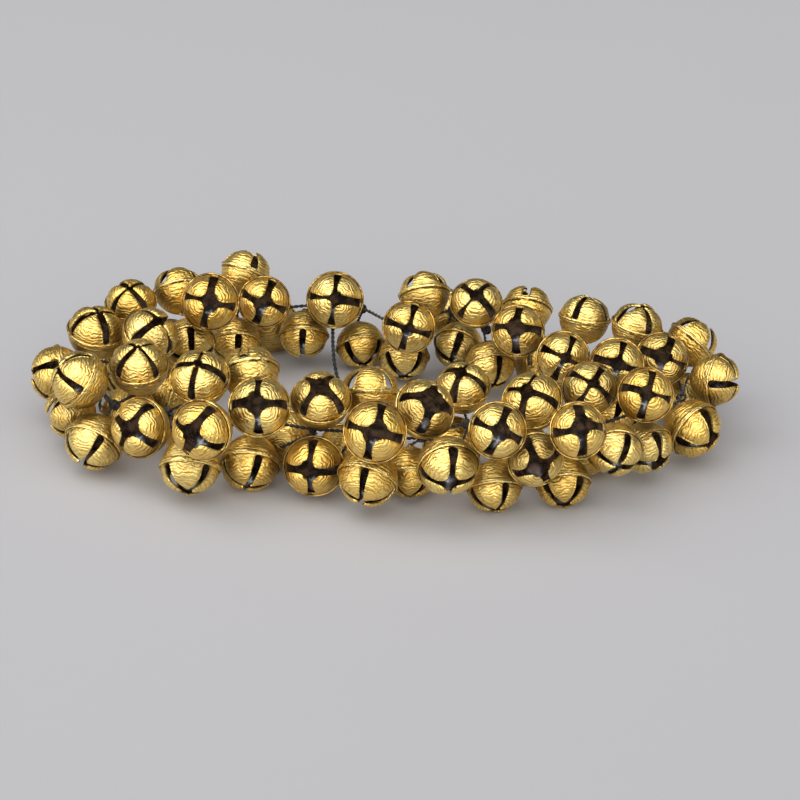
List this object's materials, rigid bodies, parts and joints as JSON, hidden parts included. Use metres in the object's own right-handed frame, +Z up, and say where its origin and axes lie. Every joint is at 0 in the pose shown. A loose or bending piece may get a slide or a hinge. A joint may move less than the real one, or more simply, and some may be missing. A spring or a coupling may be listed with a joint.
{
  "type": "string of ankle bells",
  "caption": "Loop of round sheet-brass jingle bells with folded-in petals and loose pellets, lashed in bunches to one dark cord, laid down in an oval.",
  "frame": {"origin": "on the floor, under the middle of the bells", "axes": "+X along the oval's length, to the right in the picture; +Y away from the viewer; +Z up"},
  "size_m": [0.263, 0.1666, 0.0523],
  "materials": {
    "brass": "hammered sheet, bright on the ridges and dark in the hollows",
    "iron": "smooth grey iron with brown rust on some",
    "cord": "dark twisted two-ply cotton"
  },
  "bodies": {
    "string": {"core_cord": "cord", "tie_knot": "cord", "cord_tail": "cord"},
    "bunch_back_1": {"bells_back_1": "brass"},
    "bunch_back_2": {"bells_back_2": "brass"},
    "bunch_back_3": {"bells_back_3": "brass"},
    "bunch_back_4": {"bells_back_4": "brass"},
    "bunch_back_5": {"bells_back_5": "brass"},
    "bunch_back_6": {"bells_back_6": "brass"},
    "bunch_back_7": {"bells_back_7": "brass"},
    "bunch_left_1": {"bells_left_1": "brass"},
    "bunch_left_2": {"bells_left_2": "brass"},
    "bunch_left_3": {"bells_left_3": "brass"},
    "bunch_left_4": {"bells_left_4": "brass"},
    "bunch_left_5": {"bells_left_5": "brass"},
    "bunch_left_6": {"bells_left_6": "brass"},
    "bunch_front_1": {"bells_front_1": "brass"},
    "bunch_front_2": {"bells_front_2": "brass"},
    "bunch_front_3": {"bells_front_3": "brass"},
    "bunch_front_4": {"bells_front_4": "brass"},
    "bunch_front_5": {"bells_front_5": "brass"},
    "bunch_front_6": {"bells_front_6": "brass"},
    "bunch_front_7": {"bells_front_7": "brass"},
    "bunch_front_8": {"bells_front_8": "brass"},
    "bunch_front_9": {"bells_front_9": "brass"},
    "bunch_front_10": {"bells_front_10": "brass"},
    "bunch_right_1": {"bells_right_1": "brass"},
    "bunch_right_2": {"bells_right_2": "brass"},
    "bunch_right_3": {"bells_right_3": "brass"},
    "bunch_right_4": {"bells_right_4": "brass"},
    "bunch_right_5": {"bells_right_5": "brass"},
    "bunch_right_6": {"bells_right_6": "brass"},
    "bunch_right_7": {"bells_right_7": "brass"},
    "pellet_back_1": {"pellet_back_1": "iron"},
    "pellet_back_2": {"pellet_back_2": "iron"},
    "pellet_back_4": {"pellet_back_4": "iron"},
    "pellet_back_5": {"pellet_back_5": "iron"},
    "pellet_back_6": {"pellet_back_6": "iron"},
    "pellet_back_7": {"pellet_back_7": "iron"},
    "pellet_left_1": {"pellet_left_1": "iron"},
    "pellet_left_3": {"pellet_left_3": "iron"},
    "pellet_left_4": {"pellet_left_4": "iron"},
    "pellet_left_5": {"pellet_left_5": "iron"},
    "pellet_left_6": {"pellet_left_6": "iron"},
    "pellet_front_1": {"pellet_front_1": "iron"},
    "pellet_front_2": {"pellet_front_2": "iron"},
    "pellet_front_3": {"pellet_front_3": "iron"},
    "pellet_front_5": {"pellet_front_5": "iron"},
    "pellet_front_6": {"pellet_front_6": "iron"},
    "pellet_front_7": {"pellet_front_7": "iron"},
    "pellet_front_8": {"pellet_front_8": "iron"},
    "pellet_front_9": {"pellet_front_9": "iron"},
    "pellet_front_10": {"pellet_front_10": "iron"},
    "pellet_right_1": {"pellet_right_1": "iron"},
    "pellet_right_2": {"pellet_right_2": "iron"},
    "pellet_right_3": {"pellet_right_3": "iron"},
    "pellet_right_4": {"pellet_right_4": "iron"},
    "pellet_right_5": {"pellet_right_5": "iron"},
    "pellet_right_6": {"pellet_right_6": "iron"},
    "pellet_right_7": {"pellet_right_7": "iron"}
  },
  "joints": [
    {"name": "swing_back_1", "type": "hinge", "parent": "string", "child": "bunch_back_1", "pos_m": [-0.0244, 0.0622, 0.0235], "axis": [-0.9996, 0.011, -0.026], "range_deg": [-6, 12]},
    {"name": "swing_back_2", "type": "hinge", "parent": "string", "child": "bunch_back_2", "pos_m": [-0.0444, 0.0592, 0.0235], "axis": [-0.9924, -0.116, 0.041], "range_deg": [-12, 0]},
    {"name": "swing_back_3", "type": "hinge", "parent": "string", "child": "bunch_back_3", "pos_m": [-0.0564, 0.0582, 0.0245], "axis": [-0.9264, -0.3741, 0.043], "range_deg": [-12, 12]},
    {"name": "swing_back_4", "type": "hinge", "parent": "string", "child": "bunch_back_4", "pos_m": [0.0396, 0.0402, 0.0235], "axis": [-0.8149, 0.5789, 0.027], "range_deg": [-12, 12]},
    {"name": "swing_back_5", "type": "hinge", "parent": "string", "child": "bunch_back_5", "pos_m": [0.0266, 0.0542, 0.0245], "axis": [-0.997, 0.068, 0.036], "range_deg": [-12, 9]},
    {"name": "swing_back_6", "type": "hinge", "parent": "string", "child": "bunch_back_6", "pos_m": [0.0106, 0.0412, 0.0245], "axis": [-0.9989, 0.038, -0.026], "range_deg": [-12, 11]},
    {"name": "swing_back_7", "type": "hinge", "parent": "string", "child": "bunch_back_7", "pos_m": [-0.0084, 0.0592, 0.0235], "axis": [-0.793, 0.609, 0.019], "range_deg": [-2, 12]},
    {"name": "swing_left_1", "type": "hinge", "parent": "string", "child": "bunch_left_1", "pos_m": [-0.0724, 0.0452, 0.0245], "axis": [-0.8142, -0.5791, -0.041], "range_deg": [-12, 0]},
    {"name": "swing_left_2", "type": "hinge", "parent": "string", "child": "bunch_left_2", "pos_m": [-0.0934, 0.0322, 0.0225], "axis": [-0.6049, -0.7929, -0.073], "range_deg": [-12, 1]},
    {"name": "swing_left_3", "type": "hinge", "parent": "string", "child": "bunch_left_3", "pos_m": [-0.0984, 0.0152, 0.0215], "axis": [-0.2988, -0.9524, -0.06], "range_deg": [0, 12]},
    {"name": "swing_left_4", "type": "hinge", "parent": "string", "child": "bunch_left_4", "pos_m": [-0.1034, 0.0002, 0.0205], "axis": [0, -0.9995, -0.033], "range_deg": [-1, 6]},
    {"name": "swing_left_5", "type": "hinge", "parent": "string", "child": "bunch_left_5", "pos_m": [-0.0974, -0.0178, 0.0205], "axis": [0.6861, -0.7271, 0.026], "range_deg": [-9, 9]},
    {"name": "swing_left_6", "type": "hinge", "parent": "string", "child": "bunch_left_6", "pos_m": [-0.0774, -0.0258, 0.0215], "axis": [0.7961, -0.5981, 0.092], "range_deg": [-1, 12]},
    {"name": "swing_front_1", "type": "hinge", "parent": "string", "child": "bunch_front_1", "pos_m": [-0.0634, -0.0438, 0.0245], "axis": [0.9707, -0.2389, 0.025], "range_deg": [-12, 12]},
    {"name": "swing_front_2", "type": "hinge", "parent": "string", "child": "bunch_front_2", "pos_m": [-0.0434, -0.0348, 0.0225], "axis": [0.9821, 0.159, -0.101], "range_deg": [-12, 1]},
    {"name": "swing_front_3", "type": "hinge", "parent": "string", "child": "bunch_front_3", "pos_m": [-0.0244, -0.0368, 0.0205], "axis": [0.9814, -0.1911, -0.018], "range_deg": [-1, 10]},
    {"name": "swing_front_4", "type": "hinge", "parent": "string", "child": "bunch_front_4", "pos_m": [-0.0104, -0.0408, 0.0215], "axis": [0.866, -0.481, 0.137], "range_deg": [-1, 12]},
    {"name": "swing_front_5", "type": "hinge", "parent": "string", "child": "bunch_front_5", "pos_m": [0.0006, -0.0508, 0.0245], "axis": [0.9861, -0.166, 0.003], "range_deg": [-12, 12]},
    {"name": "swing_front_6", "type": "hinge", "parent": "string", "child": "bunch_front_6", "pos_m": [0.0146, -0.0448, 0.0215], "axis": [0.9043, 0.4211, -0.07], "range_deg": [-12, 12]},
    {"name": "swing_front_7", "type": "hinge", "parent": "string", "child": "bunch_front_7", "pos_m": [0.0306, -0.0368, 0.0225], "axis": [0.9377, -0.3219, 0.131], "range_deg": [-2, 12]},
    {"name": "swing_front_8", "type": "hinge", "parent": "string", "child": "bunch_front_8", "pos_m": [0.0406, -0.0578, 0.0255], "axis": [0.9278, -0.3709, 0.039], "range_deg": [-12, 12]},
    {"name": "swing_front_9", "type": "hinge", "parent": "string", "child": "bunch_front_9", "pos_m": [0.0536, -0.0528, 0.0245], "axis": [0.9494, 0.3121, -0.036], "range_deg": [0, 12]},
    {"name": "swing_front_10", "type": "hinge", "parent": "string", "child": "bunch_front_10", "pos_m": [0.0646, -0.0498, 0.0245], "axis": [0.8632, 0.5011, -0.061], "range_deg": [-12, 2]},
    {"name": "swing_right_1", "type": "hinge", "parent": "string", "child": "bunch_right_1", "pos_m": [0.0766, -0.0378, 0.0225], "axis": [0.8258, 0.5639, -0.002], "range_deg": [-1, 12]},
    {"name": "swing_right_2", "type": "hinge", "parent": "string", "child": "bunch_right_2", "pos_m": [0.0926, -0.0308, 0.0245], "axis": [0.8108, 0.5849, -0.022], "range_deg": [-12, 12]},
    {"name": "swing_right_3", "type": "hinge", "parent": "string", "child": "bunch_right_3", "pos_m": [0.1096, -0.0118, 0.0205], "axis": [0.244, 0.9691, -0.036], "range_deg": [-9, 12]},
    {"name": "swing_right_4", "type": "hinge", "parent": "string", "child": "bunch_right_4", "pos_m": [0.1046, 0.0092, 0.0225], "axis": [-0.8123, 0.5652, 0.1441], "range_deg": [-12, 2]},
    {"name": "swing_right_5", "type": "hinge", "parent": "string", "child": "bunch_right_5", "pos_m": [0.0886, 0.0072, 0.0245], "axis": [-0.967, 0.252, 0.037], "range_deg": [0, 12]},
    {"name": "swing_right_6", "type": "hinge", "parent": "string", "child": "bunch_right_6", "pos_m": [0.0736, 0.0182, 0.0235], "axis": [-0.7872, 0.6161, -0.027], "range_deg": [-12, 0]},
    {"name": "swing_right_7", "type": "hinge", "parent": "string", "child": "bunch_right_7", "pos_m": [0.0556, 0.0332, 0.0235], "axis": [-0.8506, 0.5258, 0], "range_deg": [-12, 1]},
    {"name": "rattle_back_1", "type": "slide", "parent": "bunch_back_1", "child": "pellet_back_1", "axis": [0, 0, 1], "range_m": [0, 0.008]},
    {"name": "rattle_back_2", "type": "slide", "parent": "bunch_back_2", "child": "pellet_back_2", "axis": [0, 0, 1], "range_m": [0, 0.008]},
    {"name": "rattle_back_4", "type": "slide", "parent": "bunch_back_4", "child": "pellet_back_4", "axis": [0, 0, 1], "range_m": [0, 0.008]},
    {"name": "rattle_back_5", "type": "slide", "parent": "bunch_back_5", "child": "pellet_back_5", "axis": [0, 0, 1], "range_m": [0, 0.008]},
    {"name": "rattle_back_6", "type": "slide", "parent": "bunch_back_6", "child": "pellet_back_6", "axis": [0, 0, 1], "range_m": [0, 0.008]},
    {"name": "rattle_back_7", "type": "slide", "parent": "bunch_back_7", "child": "pellet_back_7", "axis": [0, 0, 1], "range_m": [0, 0.008]},
    {"name": "rattle_left_1", "type": "slide", "parent": "bunch_left_1", "child": "pellet_left_1", "axis": [0, 0, 1], "range_m": [0, 0.008]},
    {"name": "rattle_left_3", "type": "slide", "parent": "bunch_left_3", "child": "pellet_left_3", "axis": [0, 0, 1], "range_m": [0, 0.008]},
    {"name": "rattle_left_4", "type": "slide", "parent": "bunch_left_4", "child": "pellet_left_4", "axis": [0, 0, 1], "range_m": [0, 0.008]},
    {"name": "rattle_left_5", "type": "slide", "parent": "bunch_left_5", "child": "pellet_left_5", "axis": [0, 0, 1], "range_m": [0, 0.008]},
    {"name": "rattle_left_6", "type": "slide", "parent": "bunch_left_6", "child": "pellet_left_6", "axis": [0, 0, 1], "range_m": [0, 0.008]},
    {"name": "rattle_front_1", "type": "slide", "parent": "bunch_front_1", "child": "pellet_front_1", "axis": [0, 0, 1], "range_m": [0, 0.008]},
    {"name": "rattle_front_2", "type": "slide", "parent": "bunch_front_2", "child": "pellet_front_2", "axis": [0, 0, 1], "range_m": [0, 0.008]},
    {"name": "rattle_front_3", "type": "slide", "parent": "bunch_front_3", "child": "pellet_front_3", "axis": [0, 0, 1], "range_m": [0, 0.008]},
    {"name": "rattle_front_5", "type": "slide", "parent": "bunch_front_5", "child": "pellet_front_5", "axis": [0, 0, 1], "range_m": [0, 0.008]},
    {"name": "rattle_front_6", "type": "slide", "parent": "bunch_front_6", "child": "pellet_front_6", "axis": [0, 0, 1], "range_m": [0, 0.008]},
    {"name": "rattle_front_7", "type": "slide", "parent": "bunch_front_7", "child": "pellet_front_7", "axis": [0, 0, 1], "range_m": [0, 0.008]},
    {"name": "rattle_front_8", "type": "slide", "parent": "bunch_front_8", "child": "pellet_front_8", "axis": [0, 0, 1], "range_m": [0, 0.008]},
    {"name": "rattle_front_9", "type": "slide", "parent": "bunch_front_9", "child": "pellet_front_9", "axis": [0, 0, 1], "range_m": [0, 0.008]},
    {"name": "rattle_front_10", "type": "slide", "parent": "bunch_front_10", "child": "pellet_front_10", "axis": [0, 0, 1], "range_m": [0, 0.008]},
    {"name": "rattle_right_1", "type": "slide", "parent": "bunch_right_1", "child": "pellet_right_1", "axis": [0, 0, 1], "range_m": [0, 0.008]},
    {"name": "rattle_right_2", "type": "slide", "parent": "bunch_right_2", "child": "pellet_right_2", "axis": [0, 0, 1], "range_m": [0, 0.008]},
    {"name": "rattle_right_3", "type": "slide", "parent": "bunch_right_3", "child": "pellet_right_3", "axis": [0, 0, 1], "range_m": [0, 0.008]},
    {"name": "rattle_right_4", "type": "slide", "parent": "bunch_right_4", "child": "pellet_right_4", "axis": [0, 0, 1], "range_m": [0, 0.008]},
    {"name": "rattle_right_5", "type": "slide", "parent": "bunch_right_5", "child": "pellet_right_5", "axis": [0, 0, 1], "range_m": [0, 0.008]},
    {"name": "rattle_right_6", "type": "slide", "parent": "bunch_right_6", "child": "pellet_right_6", "axis": [0, 0, 1], "range_m": [0, 0.008]},
    {"name": "rattle_right_7", "type": "slide", "parent": "bunch_right_7", "child": "pellet_right_7", "axis": [0, 0, 1], "range_m": [0, 0.008]}
  ]
}
